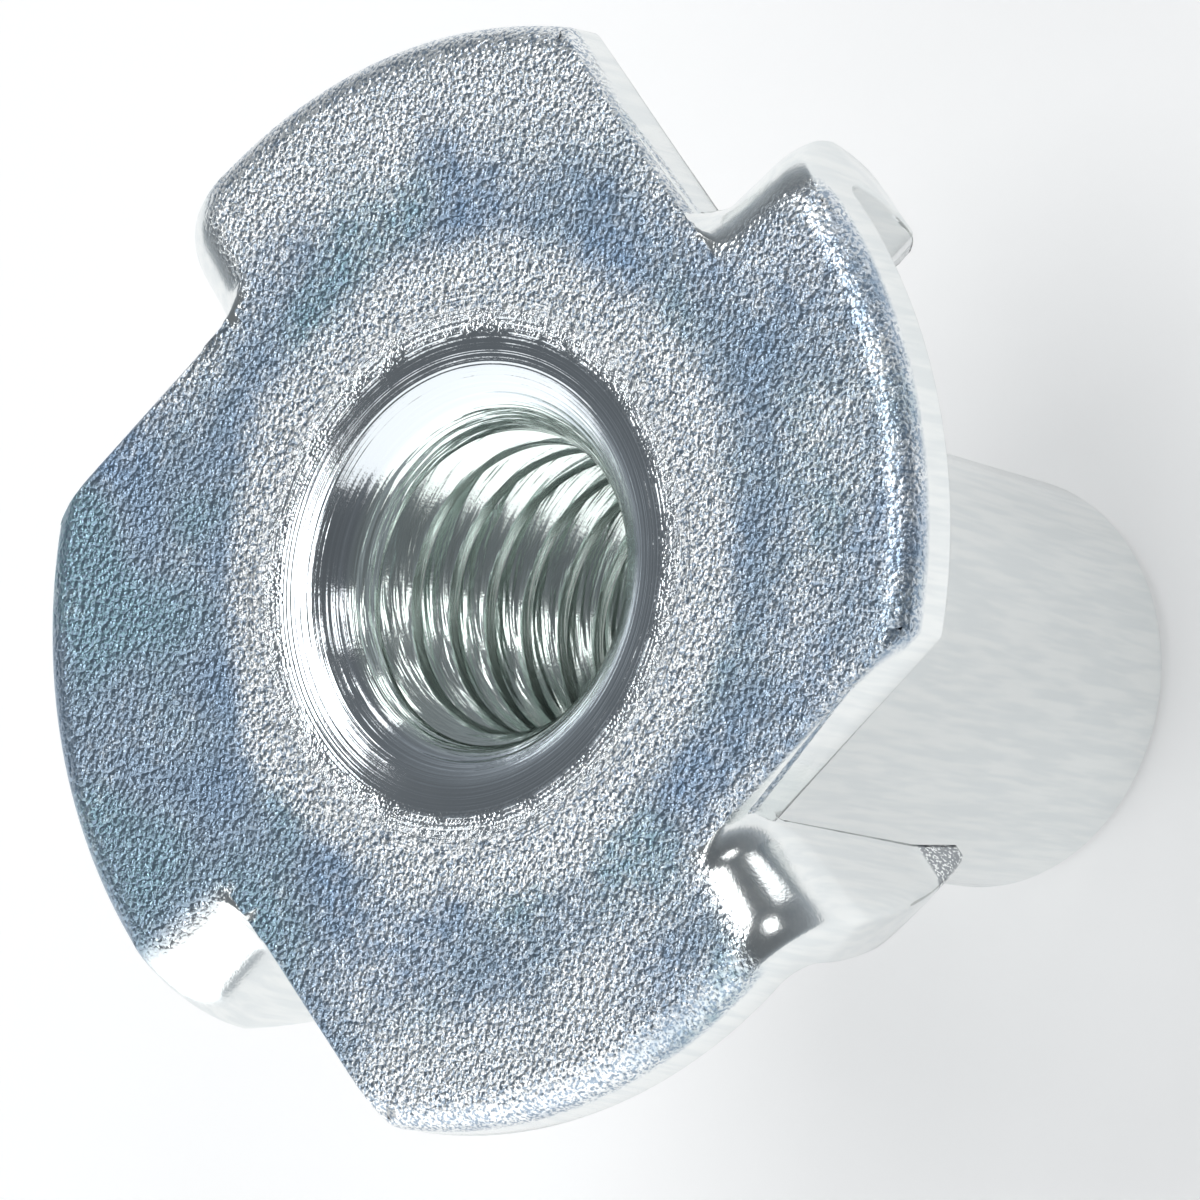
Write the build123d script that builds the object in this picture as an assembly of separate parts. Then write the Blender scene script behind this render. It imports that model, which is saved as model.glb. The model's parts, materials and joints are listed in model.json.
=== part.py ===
from build123d import *
import math
import os

# Flange disc
flange_radius = 9.5
sheet = 1.2
overall_height = 15.0
rim_round = 0.2

# Barrel, drawn down from the flange and a little tapered
barrel_root_radius = 4.15
barrel_end_radius = 3.6
barrel_root_fillet = 1.0
barrel_end_round = 0.4

# Bore: a rounded mouth in the flange, then the wall the thread is cut in
bore_radius = 2.5
mouth_round = 1.85
bore_end_chamfer = 0.3

# Notches and prongs
prong_count = 4
root_radius = 7.4
root_angle = 27.0
bend_radius = 1.7
web_radius = 0.5
tip_depth = 5.95
tip_flare_depth = 4.9
tip_flare = 0.17
tip_taper_depth = 4.0
tip_thickness = 0.3

# Levels, from the barrel's end face up
face_z = overall_height
back_z = face_z - sheet

# Share of a radius that its middle, at 45 degrees, lies along each axis
diagonal = math.sqrt(0.5)

# How near an edge must be to a level to count as on it
on_level = 0.01


def rim_block():
    """The disc of the flange, with its front edge rounded over."""
    disc = Cylinder(flange_radius, 2 * overall_height, align=(Align.CENTER, Align.CENTER, Align.MAX))
    disc = Pos(0, 0, face_z) * disc
    edge = disc.edges().filter_by(GeomType.CIRCLE).sort_by(Axis.Z)[-1]
    return fillet(edge, rim_round)


def turned_body():
    """Flange and barrel in one, as a half section turned about the thread axis."""
    mouth_radius = bore_radius + mouth_round
    mouth_z = face_z - mouth_round
    mouth_mid = (mouth_radius - mouth_round * diagonal, mouth_z + mouth_round * diagonal)
    outline = [
        Line((bore_radius, bore_end_chamfer), (bore_radius + bore_end_chamfer, 0)),
        Line((bore_radius + bore_end_chamfer, 0), (barrel_end_radius, 0)),
        Line((barrel_end_radius, 0), (barrel_root_radius, back_z)),
        Line((barrel_root_radius, back_z), (flange_radius, back_z)),
        Line((flange_radius, back_z), (flange_radius, face_z)),
        Line((flange_radius, face_z), (mouth_radius, face_z)),
        ThreePointArc((mouth_radius, face_z), mouth_mid, (bore_radius, mouth_z)),
        Line((bore_radius, mouth_z), (bore_radius, bore_end_chamfer)),
    ]
    section = Plane.XZ * make_face(outline)
    body = revolve(section, Axis.Z)
    circles = body.edges().filter_by(GeomType.CIRCLE)
    at_back = circles.filter_by(lambda e: abs(e.center().Z - back_z) < on_level)
    body = fillet(at_back.sort_by(lambda e: e.radius)[0], barrel_root_fillet)
    circles = body.edges().filter_by(GeomType.CIRCLE)
    at_end = circles.filter_by(lambda e: abs(e.center().Z) < on_level)
    body = fillet(at_end.sort_by(lambda e: e.radius)[-1], barrel_end_round)
    return body & rim_block()


# Each notch has its own frame: X along the fold, Y along the cut edge out to the rim
turn = math.radians(-root_angle)
root_x = root_radius * math.cos(turn)
root_y = root_radius * math.sin(turn)
cut_direction = math.degrees(math.atan2(-root_y, flange_radius - root_x))
notch = Plane(
    origin=(root_x, root_y, face_z),
    x_dir=(math.sin(math.radians(cut_direction)), -math.cos(math.radians(cut_direction)), 0),
    z_dir=(0, 0, 1),
)
axis_along = notch.to_local_coords(Vector(0, 0, face_z)).X
axis_out = notch.to_local_coords(Vector(0, 0, face_z)).Y


def notch_cutter():
    """Everything beyond the start of the bend, on the prong's side of the cut."""
    reach = 2 * flange_radius
    block = Box(reach, reach, 4 * sheet, align=(Align.MIN, Align.MIN, Align.CENTER))
    return notch * Pos(0, -bend_radius, 0) * block


def prong():
    """The strip behind a cut, bent down about the fold and trimmed to the rim's own arc."""
    inner = bend_radius - sheet
    outline = [
        ThreePointArc(
            (-bend_radius, 0),
            (-bend_radius + bend_radius * diagonal, -bend_radius + bend_radius * diagonal),
            (0, -bend_radius),
        ),
        Line((0, -bend_radius), (0, -tip_flare_depth)),
        Line((0, -tip_flare_depth), (tip_flare, -tip_depth)),
        Line((tip_flare, -tip_depth), (tip_flare - tip_thickness, -tip_depth)),
        Line((tip_flare - tip_thickness, -tip_depth), (-sheet, -tip_taper_depth)),
        Line((-sheet, -tip_taper_depth), (-sheet, -bend_radius)),
        ThreePointArc(
            (-sheet, -bend_radius),
            (-bend_radius + inner * diagonal, -bend_radius + inner * diagonal),
            (-bend_radius, -sheet),
        ),
        Line((-bend_radius, -sheet), (-bend_radius, 0)),
    ]
    section = Plane.YZ * make_face(outline)
    strip = notch * extrude(section, flange_radius / 2)

    # The rim's arc carried round the bend and down the prong
    bend_length = math.pi / 2 * (bend_radius - sheet / 2)
    centre_depth = axis_out + 2 * bend_radius - bend_length
    rim_at_bend = math.sqrt(flange_radius**2 - (bend_radius + axis_out) ** 2) + axis_along
    drop = sheet - centre_depth
    centre_along = rim_at_bend - math.sqrt(flange_radius**2 - drop**2)
    trimmer = Cylinder(flange_radius, 4 * flange_radius, rotation=(90, 0, 0))
    trimmer = notch * Pos(centre_along, 0, -centre_depth) * trimmer
    return strip & trimmer & rim_block()


def web():
    """Metal drawn out at the root of a notch: a fillet between the wall of the cut and the bend."""
    overlap = sheet / 3
    middle = web_radius * (1 - diagonal)
    outline = [
        Line((0, -overlap), (web_radius, -overlap)),
        Line((web_radius, -overlap), (web_radius, 0)),
        ThreePointArc((web_radius, 0), (middle, middle), (0, web_radius)),
        Line((0, web_radius), (0, -overlap)),
    ]
    section = Plane.XZ.offset(bend_radius) * make_face(outline)
    fold_axis = Axis((0, -bend_radius, -bend_radius), (-1, 0, 0))
    swept = revolve(section, fold_axis, 90)
    below_face = Box(2 * web_radius, bend_radius, bend_radius, align=(Align.MIN, Align.MAX, Align.MAX))
    return notch * (swept & below_face)


nut = turned_body()
for k in range(prong_count):
    nut = nut - Rot(0, 0, k * 360 / prong_count) * notch_cutter()
one_prong = prong() + web()
for k in range(prong_count):
    nut = nut + Rot(0, 0, k * 360 / prong_count) * one_prong

os.makedirs("parts", exist_ok=True)
nut = nut.solid()
nut.label = "tee_nut"
export_step(nut, "parts/tee_nut.step")
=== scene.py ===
import json
import math

import bmesh
import bpy
import numpy as np
from mathutils import Matrix, Vector
from mathutils.geometry import delaunay_2d_cdt

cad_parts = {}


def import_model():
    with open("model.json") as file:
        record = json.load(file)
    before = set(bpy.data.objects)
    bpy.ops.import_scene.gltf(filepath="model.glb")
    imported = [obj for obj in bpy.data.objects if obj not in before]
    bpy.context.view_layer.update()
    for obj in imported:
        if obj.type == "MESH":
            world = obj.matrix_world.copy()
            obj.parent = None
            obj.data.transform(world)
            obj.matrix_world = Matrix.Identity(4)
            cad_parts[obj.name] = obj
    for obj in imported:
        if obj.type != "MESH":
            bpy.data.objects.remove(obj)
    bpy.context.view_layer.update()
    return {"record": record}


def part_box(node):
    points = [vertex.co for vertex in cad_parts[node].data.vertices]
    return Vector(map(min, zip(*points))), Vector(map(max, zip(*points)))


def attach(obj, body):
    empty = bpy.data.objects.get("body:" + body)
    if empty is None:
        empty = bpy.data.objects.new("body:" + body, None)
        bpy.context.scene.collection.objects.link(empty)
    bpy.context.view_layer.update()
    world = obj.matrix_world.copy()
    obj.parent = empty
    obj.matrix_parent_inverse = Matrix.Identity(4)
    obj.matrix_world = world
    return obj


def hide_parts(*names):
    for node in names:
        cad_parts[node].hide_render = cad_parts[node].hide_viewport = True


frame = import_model()

NODE = "tee_nut"
MM = 0.001
low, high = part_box(NODE)

# Sizes in millimetres, from the frame where it holds them
RIM = (high.x - low.x) / 2 / MM
TOP = high.z / MM
MOUNTS = {m["name"]: m for m in frame["record"]["mounts"]}
BORE = MOUNTS["thread"]["dims"]["r_mm"]
BACK = MOUNTS["flange_back"]["pos_m"][2] / MM
SHEET = TOP - BACK
MOUTH_ROUND = 1.85
MOUTH = BORE + MOUTH_ROUND
DISH_RADIUS = 6.0
DISH_DEPTH = 0.04
DISH_REACH = 0.15
RIM_ROUND = 0.2
EDGE_ROUND = 0.07
BARREL_END = 3.6
BARREL_ROOT = 4.15
BARREL_FILLET = 1.0
BARREL_ROUND = 0.4
END_CHAMFER = 0.3
ROOT_RADIUS = 7.4
ROOT_ANGLE = math.radians(27)
BEND_AT_CUT = 1.5
BEND_AT_RIM = 1.9
WEB = 0.5
TIP_DEPTH = 5.95
FLARE_DEPTH = 4.9
FLARE = 0.17
TAPER_DEPTH = 4.0
TIP_THICKNESS = 0.3

# How wide and how round the face rolls down to the rim, and the share of that roll kept on a prong's leg
ROLL_WIDTH = 0.7
ROLL_RADIUS = 1.0
LEG_ROLL = 0.4

# Thread. The flats of its crest and root are given as shares of the pitch from the middle of the crest
THREAD_MAJOR = 3.0
THREAD_START = THREAD_MAJOR + 0.2
PITCH = 1.0
CREST_FLAT = 0.125
ROOT_FLAT = 0.4375

# How finely the mesh follows them. Columns are shares of a strip's width, and thread rows of the pitch
NOTCHES = 4
AROUND = 144
RIM_STEPS = 30
BEND_STEPS = 30
LEG_STEPS = 16
MOUTH_STEPS = 22
DISH_STEPS = 10
BARREL_ROUND_STEPS = 8
BARREL_FILLET_STEPS = 12
RIM_SEGMENTS = 3
FRONT_SPACING = 0.3
BACK_SPACING = 0.8
COLUMNS = np.array([
    0, 0.02, 0.04, 0.07, 0.1, 0.14, 0.18, 0.23, 0.3, 0.4,
    0.5, 0.6, 0.7, 0.77, 0.82, 0.86, 0.9, 0.93, 0.96, 1.0,
])
ROLL_ROWS = (0.21, 0.29, 0.37, 0.46, 0.58, 0.72)
THREAD_ROWS = np.array([0.06, 0.105, 0.145, 0.20, 0.28, 0.36, 0.4175, 0.4575])

# How near counts as touching: in the outlines in millimetres, and in the finished mesh in metres
NEAR = 1e-6
FLAT_NEAR = 1e-7
WELD = 5e-7
SHORTEST_EDGE = 1e-8

# Patches of the mesh. Where two meet at more than this angle, the edge between them is rounded or kept crisp
(FRONT, REAR, RIM_WALL, CUT_WALL, PRONG_FACE, PRONG_BACK, PRONG_CUT, PRONG_RIM, PRONG_TIP,
 MOUTH_WALL, THREAD_WALL, BARREL) = range(12)
SHARP = math.radians(38)

# The photograph's view
VIEW_AZIMUTH = -3.349
VIEW_ELEVATION = 50.445
VIEW_ROLL = -78.357
AIM = (0.057, 0.688, 10.57)
DISTANCE = 429.374
LENS = 750.0
SENSOR = 36.0
CLIP_START = 0.01
CLIP_END = 20.0

# Lamps, dome and floor, in metres. Each stop of the dome is an elevation in degrees and a level
LAMP_DISTANCE = 0.7
DOME = ((0, 0.45), (15, 0.25), (40, 0.16), (60, 0.14), (75, 0.12), (90, 0.12))
DOME_TINT = (0.92, 1.0, 1.08)
FLOOR_REACH = 2.0
FLOOR_COLOUR = (0.8, 0.8, 0.8)
FLOOR_GLOW = 0.25

# Colours of the plating
BLUE = (0.25, 0.36, 0.51)
GREY_BLUE = (0.34, 0.43, 0.52)
TEAL = (0.27, 0.42, 0.49)
SILVER = (0.92, 0.94, 0.94)
SMOOTH = (0.87, 0.89, 0.88)
SMOOTH_DULL = (0.80, 0.83, 0.83)
# Colour in the bore's mouth: painted dark reflection over the plating
MOUTH_PAINTED_DARK = (0.66, 0.70, 0.73)
THREAD_TINT = (0.80, 0.87, 0.84)
TIP_TINT = (0.32, 0.34, 0.36)
PIT_TINT = (0.24, 0.32, 0.42)
HUE_STOPS = ((0.36, BLUE), (0.5, GREY_BLUE), (0.64, TEAL))

# Zones of the surface. Each pair is where the zone is not there yet and where it is whole: a radius or a
# height in millimetres, or for a fold the share of its quarter turn
SHEET_RADII = (4.1, 4.7)
SHEET_HEIGHTS = (TOP - 0.62, TOP - 0.42)
SHEET_FOLD = (0.28, 0.02)
ROLLED_RADII = (8.9, 9.1)
BORE_RADII = (3.15, 2.95)
BORE_HEIGHTS = (0.2, 0.6)
UNDER_FACE = (TOP - 1.3, TOP - 0.9)
MOUTH_RADII = (4.7, 4.4)
LIP_RADII = (4.0, 4.3)
LIP_ENDS = (5.3, 4.7)
SCORED_RADII = (4.4, 4.2)
TIP_FOLD = (0.9, 1.0)
TIP_HEIGHTS = (TOP - FLARE_DEPTH, TOP - FLARE_DEPTH - 0.1)

# Where the tint lies, as such pairs again: on one side, on the pale side and in a ring round the bore. The
# tint is the plating's own colour, but the darker blue ring, the blue side and the bright untinted band next
# to the mouth are painted reflection of the face's curve
PAINTED_DARK_SIDE = (-0.5, 0.866)
PAINTED_DARK_LEAN = (0.45, 0.85)
PAINTED_DARK_RADII = (4.8, 5.7)
PALE_Y = (-3.0, -6.0)
PALE_RADII = (5.4, 6.4)
PALE_SHARE = 0.5
PAINTED_REFLECTION_RING_STARTS = (5.2, 6.2)
PAINTED_REFLECTION_RING_ENDS = (8.6, 6.4)
PAINTED_REFLECTION_RING_SHARE = 0.75
TINT_LEVELS = (-0.05, 1.0)
PAINTED_BRIGHT_BAND_RADII = (4.7, 5.6)

# Noises: the size of the lumps in millimetres, then detail and roughness
CLOUDS = (2.2, 2.0, 0.55)
SPOTS = (0.22, 1.0, 0.6)
HUES = (2.6, 1.0, 0.5)
FLECKS = (0.06, 1.0, 0.65)
LUMPS = (0.26, 1.0, 0.5)
PATCHES = (0.75, 1.5, 0.6)
DRAWN = (0.2, 2.0, 0.6)
DRAG = (0.4, 2.0, 0.6)

# How far two of them spread the tint, how marks are drawn out along an axis, and the levels they are cut at
CLOUD_SPREAD = 1.5
SPOT_SPREAD = 0.9
DRAWN_STRETCH = (1.0, 1.0, 0.12)
DRAG_STRETCH = (0.2, 0.2, 4.0)
DRAWN_LEVELS = (0.35, 0.65)
PIT_LEVELS = (0.53, 0.41)
SPECK_LEVELS = (0.52, 0.62)
PATCH_LEVELS = (0.38, 0.6)
PIT_SHADE = 0.85

# Roughness of the bare metal, and how much is added on the sheet's face and in the mouth
ROUGHNESS = 0.18
SHEET_ROUGHER = 0.12
MOUTH_ROUGHER = -0.04

# Relief: its depth in millimetres, the beads and rings in millimetres, and the share of each part
RELIEF_DEPTH = 0.033
BEAD_SIZE = 0.11
SCORE_SIZE = 0.06
BEAD_SHARE = -1.7
LUMP_SHARE = 0.45
ROLLED_SHARE = -0.6
RING_SHADE = 0.5
SCORE_SHARE = 1.3
LIP_SHARE = 0.5
ALL_OVER_SHARE = 0.06
DRAG_SHARE = 1.2

# The slant of the barrel's wall, and where its fillet meets the flange's back
QUARTER = math.pi / 2
SLOPE = math.atan2(BARREL_ROOT - BARREL_END, BACK)
HEM = BARREL_ROOT + BARREL_FILLET * math.tan((QUARTER + SLOPE) / 2)


def rotate(points, angle):
    """Points turned about the thread axis."""
    c, s = math.cos(angle), math.sin(angle)
    out = np.array(points, float)
    x, y = out[..., 0].copy(), out[..., 1].copy()
    out[..., 0] = x * c - y * s
    out[..., 1] = x * s + y * c
    return out


class Shell:
    """A mesh put together from patches. Each vertex knows how far round a fold it is, each face its patch."""

    def __init__(self):
        self.points = []
        self.faces = []
        self.fold = []
        self.patch = []

    def add(self, points, faces, patch, fold=0.0):
        base = len(self.points)
        points = np.asarray(points, float).reshape(-1, 3)
        self.points.extend(points.tolist())
        self.faces.extend([[base + i for i in f] for f in faces])
        self.patch.extend([patch] * len(faces))
        self.fold.extend(np.broadcast_to(np.asarray(fold, float), (len(points),)).tolist())

    def grid(self, rows, patch, closed=False, fold=0.0):
        """Quads between rows of points. Its front is where columns run left to right and rows run down."""
        rows = np.asarray(rows, float)
        m, n = rows.shape[:2]
        faces = []
        for j in range(m - 1):
            for i in range(n if closed else n - 1):
                k = (i + 1) % n
                faces.append([j * n + i, (j + 1) * n + i, (j + 1) * n + k, j * n + k])
        fold = np.asarray(fold, float)
        if fold.ndim == 1:
            fold = np.repeat(fold, n)
        self.add(rows, faces, patch, fold)


def ring(radius, z):
    """One ring of points about the axis."""
    a = np.arange(AROUND) * 2 * math.pi / AROUND
    return np.stack([radius * np.cos(a), radius * np.sin(a), z + 0 * a], axis=1)


# The notch's own frame: u along the fold and v along the cut edge, from the root of the notch
ROOT = np.array([ROOT_RADIUS * math.cos(-ROOT_ANGLE), ROOT_RADIUS * math.sin(-ROOT_ANGLE)])
CUT = np.array([RIM, 0.0]) - ROOT
V = CUT / float(np.hypot(*CUT))
U = np.array([V[1], -V[0]])
AXIS_U = float(-ROOT @ U)
AXIS_V = float(-ROOT @ V)
TURNS = [k * 2 * math.pi / NOTCHES for k in range(NOTCHES)]


def from_notch(u, v, z):
    """Points of one notch's frame, in the part's frame. Heights are from the flange's face."""
    u, v, z = np.broadcast_arrays(np.asarray(u, float), v, z)
    xy = ROOT + u[..., None] * U + v[..., None] * V
    return np.concatenate([xy, (TOP + z)[..., None]], axis=-1)


# The fold starts on a line that slants as its radius grows, and meets the rim here
FOLD_END = math.sqrt(RIM**2 - (BEND_AT_RIM + AXIS_V) ** 2) + AXIS_U
FOLD_U = COLUMNS * FOLD_END


def bend_radius(u):
    return BEND_AT_CUT + (BEND_AT_RIM - BEND_AT_CUT) * u / FOLD_END


# The rim's arc unrolled onto the prong
BEND_LENGTH = QUARTER * (BEND_AT_RIM - SHEET / 2)
CENTRE_DEPTH = AXIS_V + 2 * BEND_AT_RIM - BEND_LENGTH
CENTRE_U = FOLD_END - math.sqrt(RIM**2 - (SHEET - CENTRE_DEPTH) ** 2)


def prong_width(depth):
    return math.sqrt(RIM**2 - (depth - CENTRE_DEPTH) ** 2) + CENTRE_U


def rim_roll(points):
    """How far the face has rolled down at points seen from above."""
    r = np.hypot(points[..., 0], points[..., 1])
    reach = np.clip(r - RIM + ROLL_WIDTH, 0, ROLL_WIDTH)
    return ROLL_RADIUS - np.sqrt(ROLL_RADIUS**2 - reach**2)


def web_height(u, radius, angle):
    """How far the drawn web stands off the bend, kept inside the flange's face and the prong's face."""
    reach = np.clip(WEB - u, 0, None)
    fillet = WEB - np.sqrt(WEB**2 - reach**2)
    under_face = radius * (1 / max(math.cos(angle), NEAR) - 1)
    behind_prong = radius * (1 / max(math.sin(angle), NEAR) - 1)
    return np.minimum(fillet, np.minimum(under_face, behind_prong))


def bend_angles():
    """Row angles round the bend. One row falls where the bend passes the sheet's back."""
    at_back = math.atan2(BEND_AT_CUT, BEND_AT_CUT - SHEET)
    return np.sort(np.append(np.linspace(0, QUARTER, BEND_STEPS + 1), at_back))


def strip():
    """One bent strip: outer, inner and cut-side rows, from the start of the fold to the tip."""
    outer, inner, side = [], [], []
    bend_end = prong_width(BEND_AT_RIM)
    roll = rim_roll(from_notch(FOLD_U, -bend_radius(FOLD_U), 0))
    for a in bend_angles():
        u = COLUMNS * (FOLD_END + (bend_end - FOLD_END) * a / QUARTER)
        r = bend_radius(u)
        e = web_height(u, r, a)
        s, c = math.sin(a), math.cos(a)
        keep = 1 - (1 - LEG_ROLL) * a / QUARTER
        out = r + e - keep * roll
        outer.append(from_notch(u, -r + out * s, -r + out * c))
        inner.append(from_notch(u, -r + (r - SHEET) * s, -r + (r - SHEET) * c))
        rho = min(r[0] + e[0], (r[0] - SHEET) / max(c, NEAR))
        side.append(from_notch(0, -r[0] + rho * s, -r[0] + rho * c))
    for t in np.linspace(0, 1, LEG_STEPS + 1)[1:]:
        depth = BEND_AT_RIM + t * (TIP_DEPTH - BEND_AT_RIM)
        u = COLUMNS * prong_width(depth)
        down = bend_radius(u) + t * (TIP_DEPTH - bend_radius(u))
        flare = FLARE * np.clip((down - FLARE_DEPTH) / (TIP_DEPTH - FLARE_DEPTH), 0, None)
        taper = np.clip((down - TAPER_DEPTH) / (TIP_DEPTH - TAPER_DEPTH), 0, None)
        outer.append(from_notch(u, flare - LEG_ROLL * roll, -down))
        inner.append(from_notch(u, -SHEET + taper * (FLARE - TIP_THICKNESS + SHEET), -down))
        side.append(outer[-1][0])
    return np.array(outer), np.array(inner), np.array(side)


STRIP = strip()


def cut_edge():
    """Points on the cut's top edge where the face rolls down to the rim, out to just short of the corner."""
    rows = np.array(sorted(ROLL_ROWS, reverse=True))
    half = ROOT @ V
    out = -half + np.sqrt(half**2 - ROOT @ ROOT + (RIM - rows) ** 2)
    return ROOT + out[:, None] * V


def rim_arc():
    """The rim from one notch's corner to the fold of the next, without its last point."""
    start = ROOT + FOLD_END * U - BEND_AT_RIM * V
    sweep = QUARTER + math.atan2(start[1], start[0])
    a = np.linspace(0, sweep, RIM_STEPS + 1)[:-1]
    return np.stack([RIM * np.cos(a), RIM * np.sin(a)], axis=1)


def fold_line():
    """The start of the fold, from the rim in to the cut."""
    u = FOLD_U[::-1]
    return from_notch(u, -bend_radius(u), 0)[:, :2]


def repeat_loop(quarter):
    """A whole outline from its quarter, anticlockwise."""
    return np.concatenate([rotate(quarter, turn) for turn in TURNS])


def roll_row(inset, cut_end):
    """A row of points inside the rim and level along its roll, carried on to just short of the cut edge."""
    start = math.atan2(cut_end[1], cut_end[0])
    more = np.linspace(start, 0, 2 + int(-start * RIM / FRONT_SPACING))[1:-1]
    arc = rim_arc() * (1 - inset / RIM)
    lead = (RIM - inset) * np.stack([np.cos(more), np.sin(more)], axis=1)
    return repeat_loop(np.concatenate([lead, arc]))


def inside_points(spacing, hole, margin):
    """A staggered field of points in the flat of the flange, clear of its edges, and the rows of the roll."""
    step = spacing * math.sqrt(0.75)
    count = math.ceil(RIM / step) + 1
    rows = []
    for j in range(-count, count + 1):
        x = np.arange(-RIM - spacing, RIM + spacing, spacing) + (spacing / 2 if j % 2 else 0)
        rows.append(np.stack([x, np.full_like(x, j * step)], axis=1))
    points = np.concatenate(rows)
    r = np.hypot(points[:, 0], points[:, 1])
    points = points[(r < RIM - ROLL_ROWS[-1] - margin) & (r > hole + margin)]
    points = np.concatenate([points, *map(roll_row, ROLL_ROWS, cut_edge()[::-1])])
    keep = np.ones(len(points), bool)
    for turn in TURNS:
        local = rotate(points, -turn) - ROOT
        u, v = local @ U, local @ V
        keep &= ~((u > -margin) & (v > -bend_radius(np.clip(u, 0, FOLD_END)) - margin))
    return points[keep]


def flat_region(loop, hole, inside):
    """Triangles that fill a loop around a round hole."""
    n, m = len(loop), len(hole)
    flat = [Vector((float(p[0]), float(p[1]))) for p in [*loop, *hole, *inside]]
    edges = [(i, (i + 1) % n) for i in range(n)] + [(n + i, n + (i + 1) % m) for i in range(m)]
    verts, _, faces, *_ = delaunay_2d_cdt(flat, edges, [list(range(n))], 1, FLAT_NEAR)
    inner = np.hypot(hole[:, 0], hole[:, 1]).min() * math.cos(math.pi / m)
    keep = []
    for f in faces:
        centre = sum((verts[i] for i in f), Vector((0, 0))) / len(f)
        if centre.length > inner:
            keep.append(list(f))
    return np.array([(v.x, v.y) for v in verts]), keep


def with_height(flat, z):
    flat = np.asarray(flat, float)
    return np.concatenate([flat, np.full((len(flat), 1), float(z))], axis=1)


def mouth_radius(z):
    """The bore's rounded mouth: its radius at a height."""
    drop = np.clip(MOUTH_ROUND - (TOP - np.asarray(z, float)), 0, MOUTH_ROUND)
    return MOUTH - np.sqrt(MOUTH_ROUND**2 - drop**2)


def thread_radius(z, turn):
    """The thread's profile, cut along a right-hand helix."""
    w = z / PITCH - turn
    d = np.abs(w - np.round(w))
    share = np.clip((d - CREST_FLAT) / (ROOT_FLAT - CREST_FLAT), 0, 1)
    return BORE + (THREAD_MAJOR - BORE) * share


def bore_rows(z_low, z_high):
    """Rows of the threaded wall that follow the helix, cut off level at both ends."""
    steps = np.concatenate([-THREAD_ROWS[::-1], [0], THREAD_ROWS, [0.5]])
    first = math.floor(z_low / PITCH) - 2
    last = math.ceil(z_high / PITCH) + 1
    levels = np.concatenate([(k + steps) * PITCH for k in range(first, last + 1)])
    turn = np.arange(AROUND + 1) / AROUND
    z = np.clip(levels[:, None] + PITCH * turn[None, :], z_low, z_high)
    r = np.maximum(thread_radius(z, turn[None, :]), mouth_radius(z))
    r = np.maximum(r, BORE + np.clip(END_CHAMFER - z, 0, None))
    a = turn * 2 * math.pi
    rows = np.stack([r * np.cos(a), r * np.sin(a), z], axis=-1)
    found = np.flatnonzero((z.min(axis=1) < z_high) & (z.max(axis=1) > z_low))
    return rows[max(found[0] - 1, 0): found[-1] + 2]


def cut_side_points():
    """Where the web and the bend meet the wall of the cut, from the start of the fold to the sheet's back."""
    points = STRIP[0][: BEND_STEPS + 2, 0]
    return points[points[:, 2] > BACK - NEAR]


def short_of_root(points):
    """Which points lie on the notch's side of its root, as seen along the cut."""
    return (np.asarray(points)[:, :2] - ROOT) @ V < -NEAR


def add_flange(shell):
    """Flange: front and back faces, and the wall round them where no fold carries on."""
    edge = cut_side_points()
    short = short_of_root(edge)
    arc = rim_arc()
    quarter = np.concatenate([fold_line(), edge[short][1:, :2], [ROOT], cut_edge(), arc])
    inside = inside_points(FRONT_SPACING, DISH_RADIUS, FRONT_SPACING / 2)
    flat, faces = flat_region(repeat_loop(quarter), ring(DISH_RADIUS, TOP), inside)
    shell.add(with_height(flat, TOP), faces, FRONT)

    side = STRIP[2][: len(edge)]
    quarter = np.concatenate([fold_line(), side[short_of_root(side)][1:, :2], [ROOT], arc])
    inside = inside_points(BACK_SPACING, HEM, BACK_SPACING / 2)
    flat, faces = flat_region(repeat_loop(quarter), ring(HEM, BACK), inside)
    shell.add(with_height(flat, BACK), [f[::-1] for f in faces], REAR)

    rim = np.concatenate([arc, [rotate(fold_line()[0], QUARTER)]])
    slanting = edge[: np.count_nonzero(short) + 1]
    above = slanting.copy()
    above[:, 2] = TOP
    wall = np.concatenate([
        from_notch([0], 0, 0), edge[~short], [[RIM, 0, BACK], [RIM, 0, TOP]],
        with_height(cut_edge()[::-1], TOP),
    ])
    for turn in TURNS:
        shell.grid(rotate([with_height(rim, TOP), with_height(rim, BACK)], turn), RIM_WALL)
        shell.add(rotate(wall, turn), [list(range(len(wall)))], CUT_WALL)
        shell.grid(rotate([above, slanting], turn), FRONT)


def add_mouth(shell):
    """The dish round the bore and the bore's rounded mouth. Returns the height where the thread starts."""
    end = math.asin((MOUTH - THREAD_START) / MOUTH_ROUND)
    rings = []
    for a in np.linspace(end, 0, MOUTH_STEPS):
        rings.append(ring(MOUTH - MOUTH_ROUND * math.sin(a), TOP - MOUTH_ROUND * (1 - math.cos(a))))
    shell.grid(rings, MOUTH_WALL, closed=True)
    dish = [ring(r, TOP) for r in np.linspace(MOUTH, DISH_RADIUS, DISH_STEPS)]
    shell.grid(dish, FRONT, closed=True)
    return TOP - MOUTH_ROUND * (1 - math.cos(end))


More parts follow.
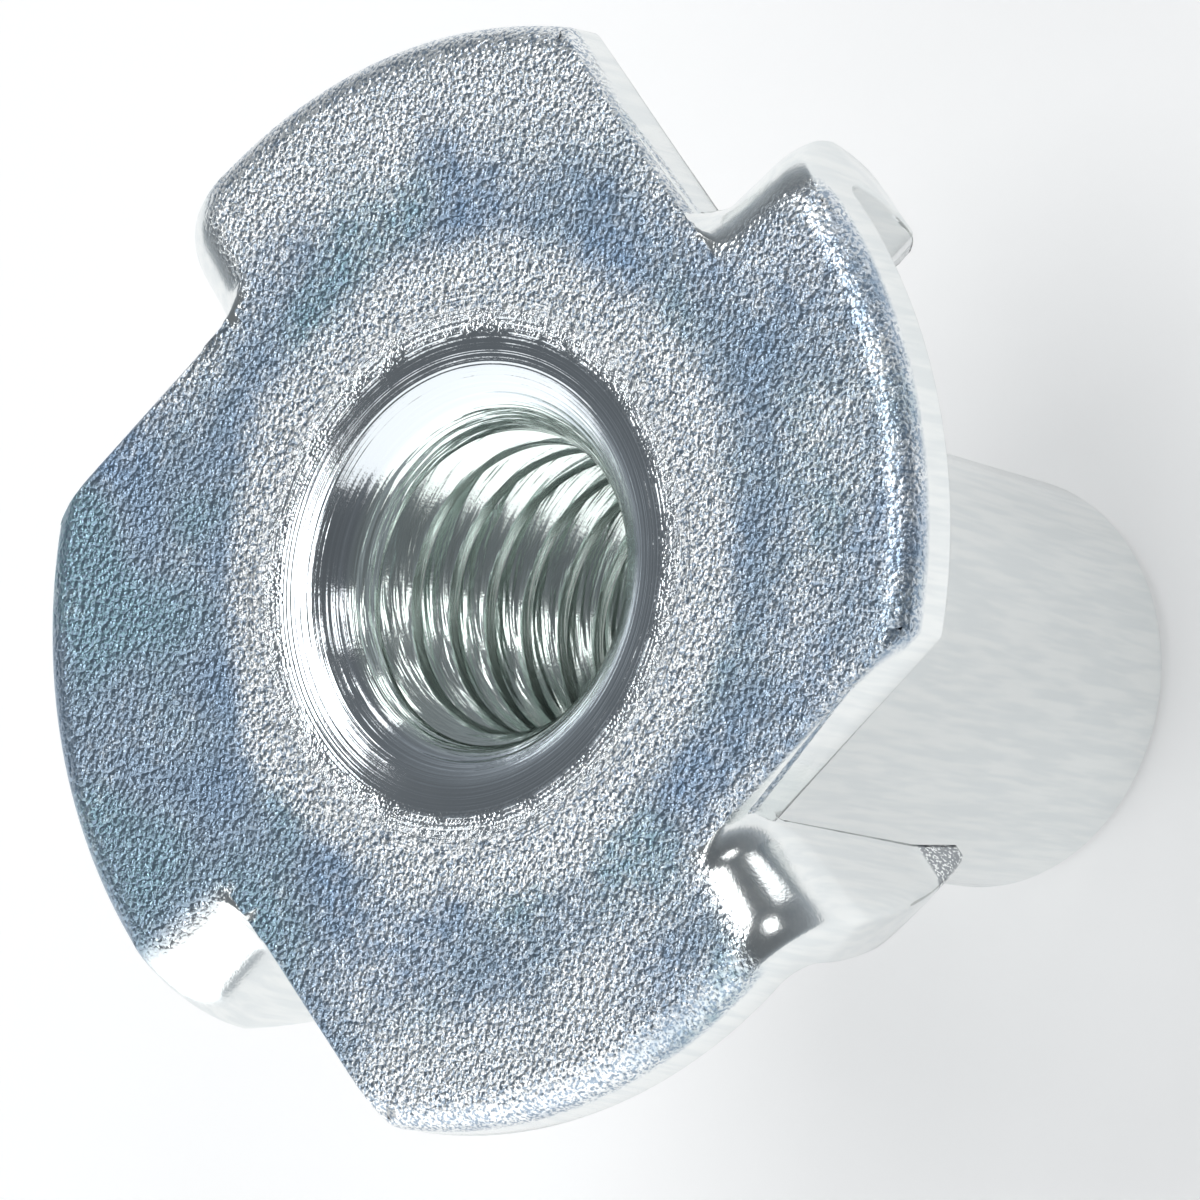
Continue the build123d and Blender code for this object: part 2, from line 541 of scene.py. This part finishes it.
def add_barrel(shell):
    """End face, end round, tapered barrel and the fillet up to the flange."""
    turn = np.arange(AROUND) / AROUND
    mouth = ring(1.0, 0.0)
    mouth[:, :2] *= np.maximum(thread_radius(0.0, turn), BORE + END_CHAMFER)[:, None]
    rings = [mouth]
    flat_end = BARREL_END - BARREL_ROUND * math.tan((QUARTER - SLOPE) / 2)
    for a in np.linspace(-QUARTER, -SLOPE, BARREL_ROUND_STEPS):
        rings.append(ring(flat_end + BARREL_ROUND * math.cos(a), BARREL_ROUND + BARREL_ROUND * math.sin(a)))
    z = BACK - BARREL_FILLET
    for a in np.linspace(math.pi - SLOPE, QUARTER, BARREL_FILLET_STEPS):
        rings.append(ring(HEM + BARREL_FILLET * math.cos(a), z + BARREL_FILLET * math.sin(a)))
    shell.grid(rings[::-1], BARREL, closed=True)


def add_prongs(shell):
    """The four bent strips."""
    fold = np.clip(np.arange(len(STRIP[0])) / BEND_STEPS, 0, 1)
    for turn in TURNS:
        outer, inner, side = (rotate(part, turn) for part in STRIP)
        shell.grid(outer[:, ::-1], PRONG_FACE, fold=fold)
        shell.grid(inner, PRONG_BACK, fold=fold)
        shell.grid(np.stack([side, inner[:, 0]], axis=1), PRONG_CUT, fold=fold)
        shell.grid(np.stack([inner[:, -1], outer[:, -1]], axis=1), PRONG_RIM, fold=fold)
        shell.grid(np.stack([inner[-1], outer[-1]], axis=0), PRONG_TIP, fold=1.0)


def build_shell():
    shell = Shell()
    add_flange(shell)
    thread_end = add_mouth(shell)
    shell.grid(bore_rows(0.0, thread_end), THREAD_WALL)
    add_barrel(shell)
    add_prongs(shell)
    return shell


def settle_front(points):
    """The face's shallow dish round the bore, and its roll down to the rim where it is still level."""
    r = np.hypot(points[:, 0], points[:, 1])
    level = points[:, 2] > TOP - NEAR
    dish = np.clip((DISH_RADIUS - r) / (DISH_RADIUS - MOUTH), 0, 1) ** 2
    near = np.clip(1 - (TOP - points[:, 2]) / DISH_REACH, 0, 1)
    points[:, 2] -= near * DISH_DEPTH * dish
    points[level, 2] -= rim_roll(points[level])


def mark_edges(bm):
    """Sets how much the edges between patches are rounded, and keeps the inward ones crisp."""
    patch = bm.faces.layers.int["patch"]
    weights = bm.edges.layers.float.new("bevel_weight_edge")
    for e in bm.edges:
        a, b = sorted(f[patch] for f in e.link_faces)
        if a == b or e.calc_face_angle(0.0) < SHARP or b in (MOUTH_WALL, THREAD_WALL, BARREL):
            continue
        if e.is_convex and {a, b} != {FRONT, PRONG_FACE}:
            e[weights] = 1.0 if (a, b) == (FRONT, RIM_WALL) else EDGE_ROUND / RIM_ROUND
        else:
            e.smooth = False


def make_object(shell):
    mesh = bpy.data.meshes.new("nut")
    points = np.array(shell.points)
    settle_front(points)
    mesh.from_pydata((points * MM).tolist(), [], shell.faces)
    fold = mesh.attributes.new("fold", "FLOAT", "POINT")
    fold.data.foreach_set("value", np.array(shell.fold, np.float32))
    mesh.attributes.new("patch", "INT", "FACE").data.foreach_set("value", shell.patch)
    bm = bmesh.new()
    bm.from_mesh(mesh)
    bmesh.ops.remove_doubles(bm, verts=bm.verts, dist=WELD)
    bmesh.ops.dissolve_degenerate(bm, edges=bm.edges, dist=SHORTEST_EDGE)
    bmesh.ops.recalc_face_normals(bm, faces=bm.faces)
    for f in bm.faces:
        f.smooth = True
    mark_edges(bm)
    bm.to_mesh(mesh)
    bm.free()
    obj = bpy.data.objects.new("tee_nut_body", mesh)
    bpy.context.scene.collection.objects.link(obj)
    bevel = obj.modifiers.new("edges", "BEVEL")
    bevel.width = RIM_ROUND * MM
    bevel.segments = RIM_SEGMENTS
    bevel.limit_method = "WEIGHT"
    bevel.harden_normals = False
    bevel.use_clamp_overlap = False
    return obj


class Graph:
    """Shader nodes of one tree. What goes into a node is a number, a tuple or another node's output."""

    def __init__(self, tree, coordinates=None):
        self.nodes = tree.nodes
        self.links = tree.links
        if coordinates:
            self.where = self.node("TexCoord").outputs[coordinates]

    def put(self, value, socket):
        if isinstance(value, (int, float)):
            socket.default_value = value
        elif isinstance(value, tuple):
            socket.default_value = (*value, 1.0) if len(socket.default_value) == 4 else value
        else:
            self.links.new(value, socket)

    def node(self, kind, *values, **settings):
        """A node with its settings, and its first inputs filled in order."""
        node = self.nodes.new("ShaderNode" + kind)
        for name, setting in settings.items():
            setattr(node, name, setting)
        for value, socket in zip(values, node.inputs):
            self.put(value, socket)
        return node

    def calc(self, operation, *values):
        return self.node("Math", *values, operation=operation).outputs["Value"]

    def times(self, first, *others):
        for other in others:
            first = self.calc("MULTIPLY", first, other)
        return first

    def plus(self, base, value, share):
        """The base with this share of the value added."""
        return self.calc("MULTIPLY_ADD", value, share, base)

    def step(self, value, ends):
        """0 at the first of its ends and 1 at the second, smooth between."""
        return self.node("MapRange", value, *ends, interpolation_type="SMOOTHSTEP").outputs["Result"]

    def step_mm(self, value, ends):
        """The same, with its ends in millimetres."""
        return self.step(value, (ends[0] * MM, ends[1] * MM))

    def scaled(self, *factors):
        """The point, stretched or squashed along each axis."""
        return self.node("VectorMath", self.where, factors, operation="MULTIPLY").outputs[0]

    def noise(self, size, detail, rough, vector=None):
        """Noise with lumps of about this size in millimetres."""
        node = self.node("TexNoise", self.where if vector is None else vector)
        node.inputs["Scale"].default_value = 1 / (size * MM)
        node.inputs["Detail"].default_value = detail
        node.inputs["Roughness"].default_value = rough
        return node.outputs["Fac"]

    def ramp(self, value, stops):
        node = self.node("ValToRGB", value)
        elements = node.color_ramp.elements
        while len(elements) < len(stops):
            elements.new(0.5)
        for element, (position, colour) in zip(elements, stops):
            element.position = position
            element.color = (*colour, 1.0)
        return node.outputs["Color"]

    def mix(self, share, a, b):
        node = self.node("Mix", data_type="RGBA")
        for value, index in ((share, 0), (a, 6), (b, 7)):
            self.put(value, node.inputs[index])
        return node.outputs[2]


class Zones:
    """Where each kind of surface shows on the nut, as values from 0 to 1, and the noises they share."""

    def __init__(self, g):
        self.x, self.y, z = g.node("SeparateXYZ", g.where).outputs
        flat = g.node("CombineXYZ", self.x, self.y).outputs[0]
        self.radius = g.node("VectorMath", flat, operation="LENGTH").outputs["Value"]
        folded = g.node("Attribute", attribute_name="fold").outputs["Fac"]

        # The sheet's rolled face: the flange's front, over the rim's round and up to each fold
        sheet = g.times(g.step_mm(z, SHEET_HEIGHTS), g.step_mm(self.radius, SHEET_RADII))
        self.on_sheet = g.times(sheet, g.step(folded, SHEET_FOLD))
        self.in_bore = g.times(g.step_mm(self.radius, BORE_RADII), g.step_mm(z, BORE_HEIGHTS))
        self.under_face = g.step_mm(z, UNDER_FACE)
        self.in_mouth = g.times(g.step_mm(self.radius, MOUTH_RADII), self.under_face)
        self.at_tip = g.times(g.step(folded, TIP_FOLD), g.step_mm(z, TIP_HEIGHTS))
        self.past_lip = g.step_mm(self.radius, LIP_RADII)
        self.flecks = g.noise(*FLECKS)


def tint_share(g, zones):
    """How tinted the face is: a ring round the bore, more on one side, broken up by clouds and spots. The
    tint is the plating's own colour; its ring, its blue side and the bright band left bare next to the mouth
    are painted reflection of the face's curve.
    """
    # Painted reflection: more blue on one side, and a darker blue ring round the bore
    lean = g.calc("MULTIPLY_ADD", zones.y, PAINTED_DARK_SIDE[1], g.times(zones.x, PAINTED_DARK_SIDE[0]))
    lean = g.step(g.calc("DIVIDE", lean, zones.radius), PAINTED_DARK_LEAN)
    painted_dark_side = g.times(lean, g.step_mm(zones.radius, PAINTED_DARK_RADII))
    pale_side = g.times(g.step_mm(zones.y, PALE_Y), g.step_mm(zones.radius, PALE_RADII))
    painted_reflection_ring = g.times(g.step_mm(zones.radius, PAINTED_REFLECTION_RING_STARTS), g.step_mm(zones.radius, PAINTED_REFLECTION_RING_ENDS))
    tint = g.calc("MAXIMUM", g.times(painted_reflection_ring, PAINTED_REFLECTION_RING_SHARE), painted_dark_side)
    tint = g.calc("MAXIMUM", tint, g.times(pale_side, PALE_SHARE))
    for noise, spread in ((CLOUDS, CLOUD_SPREAD), (SPOTS, SPOT_SPREAD)):
        tint = g.calc("ADD", tint, g.plus(-spread / 2, g.noise(*noise), spread))
    # Painted reflection: the tint fades out next to the mouth, leaving a bright band
    return g.times(g.step(tint, TINT_LEVELS), g.step_mm(zones.radius, PAINTED_BRIGHT_BAND_RADII))


def plating_colour(g, zones):
    """Speckled and tinted on the sheet's face, plain on drawn metal, darker in the mouth and at tips. The
    mouth's darker colour is painted dark reflection.
    """
    face = g.mix(tint_share(g, zones), SILVER, g.ramp(g.noise(*HUES), HUE_STOPS))
    face = g.mix(g.times(g.step(zones.flecks, PIT_LEVELS), PIT_SHADE), face, PIT_TINT)
    drawn = g.step(g.noise(*DRAWN, g.scaled(*DRAWN_STRETCH)), DRAWN_LEVELS)
    colour = g.mix(zones.on_sheet, g.mix(drawn, SMOOTH, SMOOTH_DULL), face)
    speck = g.step(zones.flecks, SPECK_LEVELS)
    # The mouth is darkened as painted dark reflection, with silver specks past the lip
    colour = g.mix(zones.in_mouth, colour, g.mix(g.times(speck, zones.past_lip), MOUTH_PAINTED_DARK, SILVER))
    colour = g.mix(zones.in_bore, colour, THREAD_TINT)
    return g.mix(zones.at_tip, colour, g.mix(speck, TIP_TINT, SILVER))


def grain_height(g, zones):
    """Beaded grain of the sheet's face, fainter where it is rolled down to the rim."""
    bead = g.node("TexVoronoi", g.where)
    bead.inputs["Scale"].default_value = 1 / (BEAD_SIZE * MM)
    crown = g.times(bead.outputs["Distance"], bead.outputs["Distance"])
    grain = g.plus(g.plus(zones.flecks, g.noise(*LUMPS), LUMP_SHARE), crown, BEAD_SHARE)
    depth = g.plus(1.0, g.step_mm(zones.radius, ROLLED_RADII), ROLLED_SHARE)
    return g.times(grain, g.times(zones.on_sheet, depth))


def scored_height(g, zones, height):
    """Rings scored round the mouth, broken up where they cross onto the face, and specks between them."""
    rings = g.node("TexNoise", noise_dimensions="1D")
    rings.inputs["Scale"].default_value = 1 / (SCORE_SIZE * MM)
    rings.inputs["Detail"].default_value = 1.0
    g.put(zones.radius, rings.inputs["W"])
    patches = g.noise(*PATCHES)
    lip = g.times(zones.past_lip, g.step_mm(zones.radius, LIP_ENDS))
    broken = g.times(lip, g.step(patches, PATCH_LEVELS))
    inside = g.times(g.step_mm(zones.radius, SCORED_RADII), g.times(patches, RING_SHADE))
    scored = g.times(g.calc("MAXIMUM", broken, inside), zones.under_face)
    height = g.plus(height, g.times(rings.outputs["Fac"], scored), SCORE_SHARE)
    near_lip = g.times(lip, zones.under_face, LIP_SHARE)
    return g.plus(height, zones.flecks, g.calc("ADD", near_lip, ALL_OVER_SHARE))


def metal():
    """Bright zinc with a faint blue passivation, speckled where the sheet's face shows."""
    mat = bpy.data.materials.new("blue_zinc")
    mat.use_nodes = True
    g = Graph(mat.node_tree, "Object")
    zones = Zones(g)
    shader = g.nodes["Principled BSDF"]
    shader.inputs["Metallic"].default_value = 1.0
    g.put(plating_colour(g, zones), shader.inputs["Base Color"])
    rough = g.plus(ROUGHNESS, zones.on_sheet, SHEET_ROUGHER)
    g.put(g.plus(rough, zones.in_mouth, MOUTH_ROUGHER), shader.inputs["Roughness"])

    # Grain, then the scored mouth, then fine drag marks round the thread
    height = scored_height(g, zones, grain_height(g, zones))
    drag = g.times(g.noise(*DRAG, g.scaled(*DRAG_STRETCH)), zones.in_bore)
    bump = g.node("Bump")
    bump.inputs["Strength"].default_value = 1.0
    bump.inputs["Distance"].default_value = RELIEF_DEPTH * MM
    g.put(g.plus(height, drag, DRAG_SHARE), bump.inputs["Height"])
    g.put(bump.outputs["Normal"], shader.inputs["Normal"])
    return mat


def camera():
    """The photograph's view: aimed at a point on the optical axis, then rolled about it."""
    aim = Vector(AIM) * MM
    azimuth, elevation, roll = map(math.radians, (VIEW_AZIMUTH, VIEW_ELEVATION, VIEW_ROLL))
    back = Vector((
        math.sin(azimuth) * math.cos(elevation),
        -math.cos(azimuth) * math.cos(elevation),
        math.sin(elevation),
    ))
    data = bpy.data.cameras.new("camera")
    data.lens = LENS
    data.sensor_width = SENSOR
    data.clip_start = CLIP_START
    data.clip_end = CLIP_END
    cam = bpy.data.objects.new("camera", data)
    bpy.context.scene.collection.objects.link(cam)
    turn = (-back).to_track_quat("-Z", "Y").to_matrix() @ Matrix.Rotation(roll, 3, "Z")
    cam.matrix_world = Matrix.Translation(aim + back * DISTANCE * MM) @ turn.to_4x4()
    bpy.context.scene.camera = cam


def softbox(name, azimuth, elevation, width, height, level, spin=0.0):
    """An area lamp at a fixed distance. Its place and size are in degrees as the part sees it."""
    data = bpy.data.lights.new(name, "AREA")
    data.shape = "RECTANGLE"
    data.size = 2 * LAMP_DISTANCE * math.tan(math.radians(width / 2))
    data.size_y = 2 * LAMP_DISTANCE * math.tan(math.radians(height / 2))
    data.energy = level * data.size * data.size_y * math.pi
    lamp = bpy.data.objects.new(name, data)
    az, el = math.radians(azimuth), math.radians(elevation)
    d = Vector((math.cos(az) * math.cos(el), math.sin(az) * math.cos(el), math.sin(el)))
    turn = d.to_track_quat("Z", "Y").to_matrix() @ Matrix.Rotation(math.radians(spin), 3, "Z")
    lamp.matrix_world = Matrix.Translation(d * LAMP_DISTANCE) @ turn.to_4x4()
    bpy.context.scene.collection.objects.link(lamp)


def world():
    """A soft dome: brightest at the horizon, dimmer and a little blue overhead."""
    w = bpy.data.worlds.new("world")
    bpy.context.scene.world = w
    w.use_nodes = True
    g = Graph(w.node_tree, "Generated")
    up = g.node("SeparateXYZ", g.where).outputs[2]
    stops = [
        (math.sin(math.radians(degrees)), [level * share for share in DOME_TINT])
        for degrees, level in DOME
    ]
    background = g.nodes["Background"]
    g.put(g.ramp(up, stops), background.inputs["Color"])
    background.inputs["Strength"].default_value = 1.0


def floor():
    """A pale floor. Cameras and reflections see it glow a little, and it keeps the nut's shadow."""
    mesh = bpy.data.meshes.new("floor")
    s = FLOOR_REACH
    mesh.from_pydata([(-s, -s, 0), (s, -s, 0), (s, s, 0), (-s, s, 0)], [], [(0, 1, 2, 3)])
    obj = bpy.data.objects.new("floor", mesh)
    bpy.context.scene.collection.objects.link(obj)
    mat = bpy.data.materials.new("floor")
    mat.use_nodes = True
    mat.node_tree.nodes.clear()
    g = Graph(mat.node_tree)
    path = g.node("LightPath")
    seen = g.calc("MAXIMUM", path.outputs["Is Camera Ray"], path.outputs["Is Glossy Ray"])
    seen = g.calc("MAXIMUM", seen, path.outputs["Is Transmission Ray"])
    diffuse = g.node("BsdfDiffuse", FLOOR_COLOUR)
    glow = g.node("Emission", (1.0, 1.0, 1.0), g.times(seen, FLOOR_GLOW))
    both = g.node("AddShader", diffuse.outputs[0], glow.outputs[0])
    g.node("OutputMaterial", both.outputs[0])

    # The glow is only for what is seen of the floor, so it is not sampled as a lamp
    mat.cycles.emission_sampling = "NONE"
    mesh.materials.append(mat)


nut = make_object(build_shell())
nut.data.materials.append(metal())
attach(nut, "root")
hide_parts(NODE)

camera()
softbox("side", azimuth=159, elevation=23.4, width=110, height=70, level=1.25, spin=46)
softbox("overhead", azimuth=38, elevation=71, width=40, height=26, level=4.4, spin=56)
softbox("front", azimuth=310, elevation=50, width=20, height=12, level=2.5)
softbox("right", azimuth=-6, elevation=22, width=26, height=18, level=2.0)
world()
floor()

bpy.context.scene.view_settings.view_transform = "Standard"
